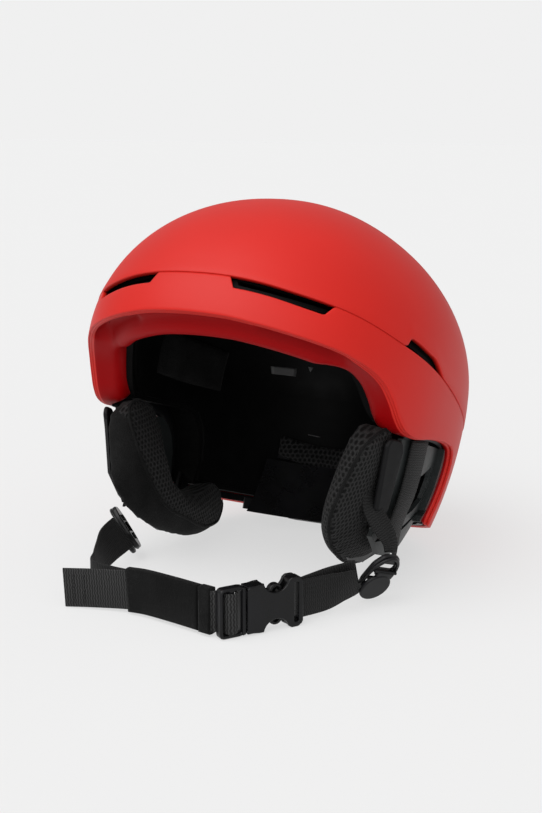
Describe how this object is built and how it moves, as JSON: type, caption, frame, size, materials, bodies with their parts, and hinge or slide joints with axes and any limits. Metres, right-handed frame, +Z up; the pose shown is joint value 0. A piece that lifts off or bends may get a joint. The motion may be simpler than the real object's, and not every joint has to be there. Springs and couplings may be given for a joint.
{
  "type": "ski helmet",
  "caption": "Snow helmet with a matte red two-piece shell, black ear pads, a dial fit system, strap dividers and a side-release chin buckle",
  "frame": {"origin": "centre of the bounding box's bottom face, on the surface the helmet stands on", "axes": "+X the wearer's left, +Y backwards, +Z up; the helmet stands on its rear edge and ear pads, pitched back 20 degrees, with its chin strap lying in front of it"},
  "size_m": [0.234, 0.3012, 0.2394],
  "materials": {
    "shell_red": "matte, fine grain",
    "frame_red": "matte",
    "foam_black": "moulded foam",
    "pad_fabric": "knit and mesh",
    "chassis_grey": "satin moulded",
    "webbing": "woven, ribbed",
    "velour": "brushed pile",
    "pin_steel": "plain",
    "black_plastic": "satin moulded"
  },
  "bodies": {
    "helmet": {"brow_frame": "frame_red", "brow_pad": "pad_fabric", "buckle_female": "black_plastic", "cam_pin_left": "pin_steel", "cam_pin_right": "pin_steel", "chassis_arm_left": "black_plastic", "chassis_arm_right": "black_plastic", "chin_strap_left": "webbing", "chin_strap_right": "webbing", "clip_base": "black_plastic", "clip_pin": "pin_steel", "cradle": "black_plastic", "cradle_hanger_left": "black_plastic", "cradle_hanger_right": "black_plastic", "cradle_pad": "pad_fabric", "crown_pad": "pad_fabric", "crown_shell": "shell_red", "dial_housing": "black_plastic", "divider_left": "black_plastic", "divider_right": "black_plastic", "ear_chassis_left": "chassis_grey", "ear_chassis_right": "chassis_grey", "foam_liner": "foam_black", "front_strap_left": "webbing", "front_strap_right": "webbing", "front_vent_left": "black_plastic", "front_vent_right": "black_plastic", "lower_shell": "shell_red", "rear_strap_left": "webbing", "rear_strap_right": "webbing", "rear_trim": "black_plastic", "rear_vent_left": "black_plastic", "rear_vent_right": "black_plastic", "side_pad_left": "pad_fabric", "side_pad_right": "pad_fabric", "side_vent_left": "black_plastic", "side_vent_right": "black_plastic", "slip_liner": "pad_fabric"},
    "buckle_male": {"buckle_male": "black_plastic", "strap_tail": "webbing", "strap_sleeve": "velour", "strap_keeper": "black_plastic"},
    "prong_upper": {"prong_upper": "black_plastic"},
    "prong_lower": {"prong_lower": "black_plastic"},
    "cam_left": {"cam_lever_left": "black_plastic"},
    "cam_right": {"cam_lever_right": "black_plastic"},
    "ear_pad_left": {"ear_pad_left": "pad_fabric", "ear_carrier_left": "black_plastic"},
    "ear_pad_right": {"ear_pad_right": "pad_fabric", "ear_carrier_right": "black_plastic"},
    "dial": {"dial_knob": "black_plastic", "dial_pinion": "black_plastic"},
    "band_left": {"band_left": "black_plastic"},
    "band_right": {"band_right": "black_plastic"},
    "goggle_clip": {"clip_lever": "black_plastic"}
  },
  "joints": [
    {"name": "buckle_release", "type": "slide", "parent": "helmet", "child": "buckle_male", "axis": [-0.5461, -0.8377, 0], "range_m": [0, 0.032]},
    {"name": "prong_upper_squeeze", "type": "hinge", "parent": "buckle_male", "child": "prong_upper", "pos_m": [0.04908, -0.13345, 0.0239], "axis": [-0.8377, 0.5461, 0], "range_deg": [0, 6], "stiffness_Nm_per_rad": 0.3},
    {"name": "prong_lower_squeeze", "type": "hinge", "parent": "buckle_male", "child": "prong_lower", "pos_m": [0.04908, -0.13345, 0.0067], "axis": [0.8377, -0.5461, 0], "range_deg": [0, 6], "stiffness_Nm_per_rad": 0.3},
    {"name": "cam_left_open", "type": "hinge", "parent": "helmet", "child": "cam_left", "pos_m": [0.1025, -0.0577, 0.02222], "axis": [-0.3967, -0.8684, 0.2975], "range_deg": [0, 75]},
    {"name": "cam_right_open", "type": "hinge", "parent": "helmet", "child": "cam_right", "pos_m": [-0.0955, -0.0467, 0.02222], "axis": [-0.3967, 0.8684, -0.2975], "range_deg": [0, 75]},
    {"name": "ear_pad_left_pull", "type": "slide", "parent": "helmet", "child": "ear_pad_left", "axis": [-1, 0, 0], "range_m": [0, 0.02]},
    {"name": "ear_pad_right_pull", "type": "slide", "parent": "helmet", "child": "ear_pad_right", "axis": [1, 0, 0], "range_m": [0, 0.02]},
    {"name": "dial_turn", "type": "hinge", "parent": "helmet", "child": "dial", "pos_m": [0, 0.07449, 0.01977], "axis": [0, -0.9397, 0.342], "range_deg": [0, 130]},
    {"name": "band_left_draw", "type": "hinge", "parent": "helmet", "child": "band_left", "pos_m": [0, 0.01463, 0.05326], "axis": [0, 0.342, 0.9397], "range_deg": [0, 9.6]},
    {"name": "band_right_draw", "type": "hinge", "parent": "helmet", "child": "band_right", "pos_m": [0, 0.00711, 0.03259], "axis": [0, -0.342, -0.9397], "range_deg": [0, 9.6]},
    {"name": "goggle_clip_open", "type": "hinge", "parent": "helmet", "child": "goggle_clip", "pos_m": [0, 0.11659, 0.01005], "axis": [-1, 0, 0], "range_deg": [0, 65]}
  ],
  "couplings": [
    {"joint": "band_left_draw", "follows": "dial_turn", "ratio": 0.073855},
    {"joint": "band_right_draw", "follows": "dial_turn", "ratio": 0.073855}
  ]
}
